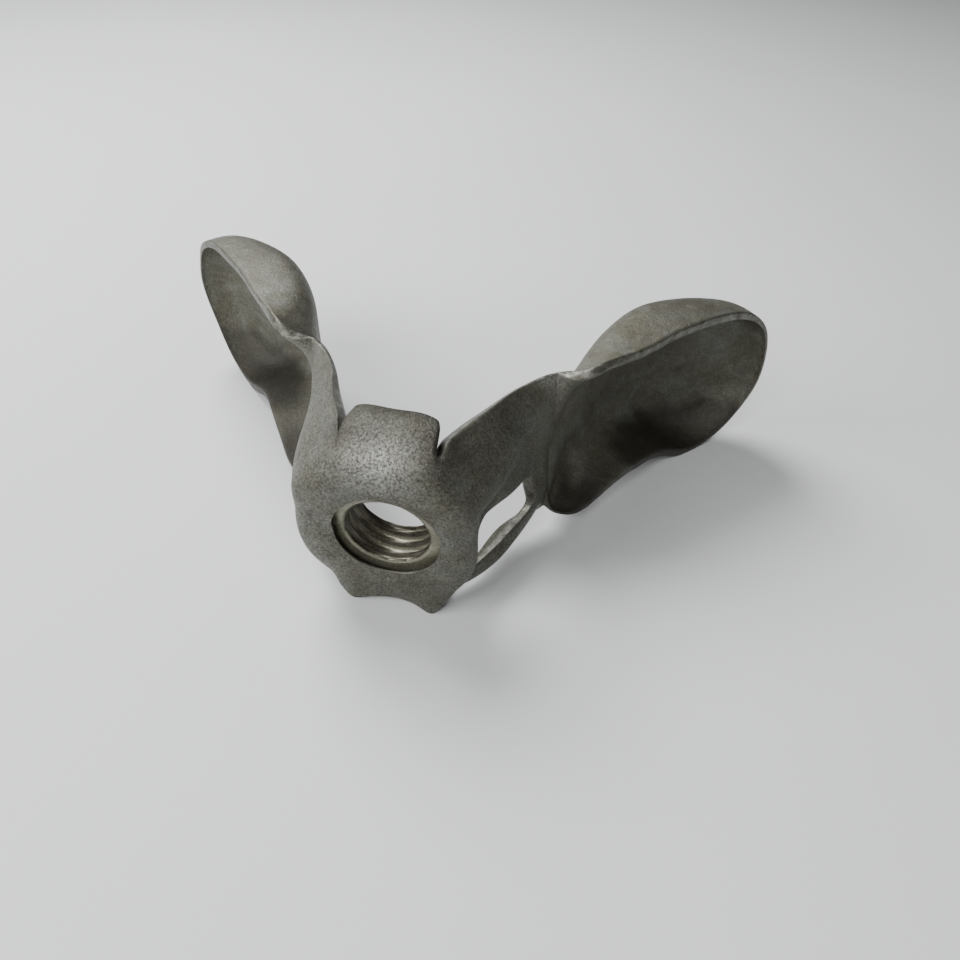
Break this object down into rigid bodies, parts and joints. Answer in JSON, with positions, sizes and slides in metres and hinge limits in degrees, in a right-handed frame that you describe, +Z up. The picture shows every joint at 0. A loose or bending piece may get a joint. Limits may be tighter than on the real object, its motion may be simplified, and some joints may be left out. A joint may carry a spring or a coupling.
{
  "type": "wing nut",
  "caption": "Pressed-steel wing nut: a folded sheet hub holds a thin hexagon nut, and two channel arms end in scooped wings.",
  "frame": {"origin": "centre of the clearance hole on the bearing face", "axes": "+Y along the bore, away from the bearing face and towards the wings' free side; +X towards the right wing; +Z up as the nut lies on a bench"},
  "size_m": [0.092, 0.0513, 0.0329],
  "materials": {
    "galvanised_sheet": "weathered hot-dip zinc, dull and mottled",
    "nut_steel": "dull zinc on the flats, darker in the thread"
  },
  "bodies": {
    "wing_body": {"wing_body": "galvanised_sheet"},
    "hex_nut": {"hex_nut": "nut_steel"}
  },
  "joints": [
    {"name": "nut_float", "type": "slide", "parent": "wing_body", "child": "hex_nut", "axis": [0, 1, 0], "range_m": [-0.00025, 0.00025]}
  ]
}
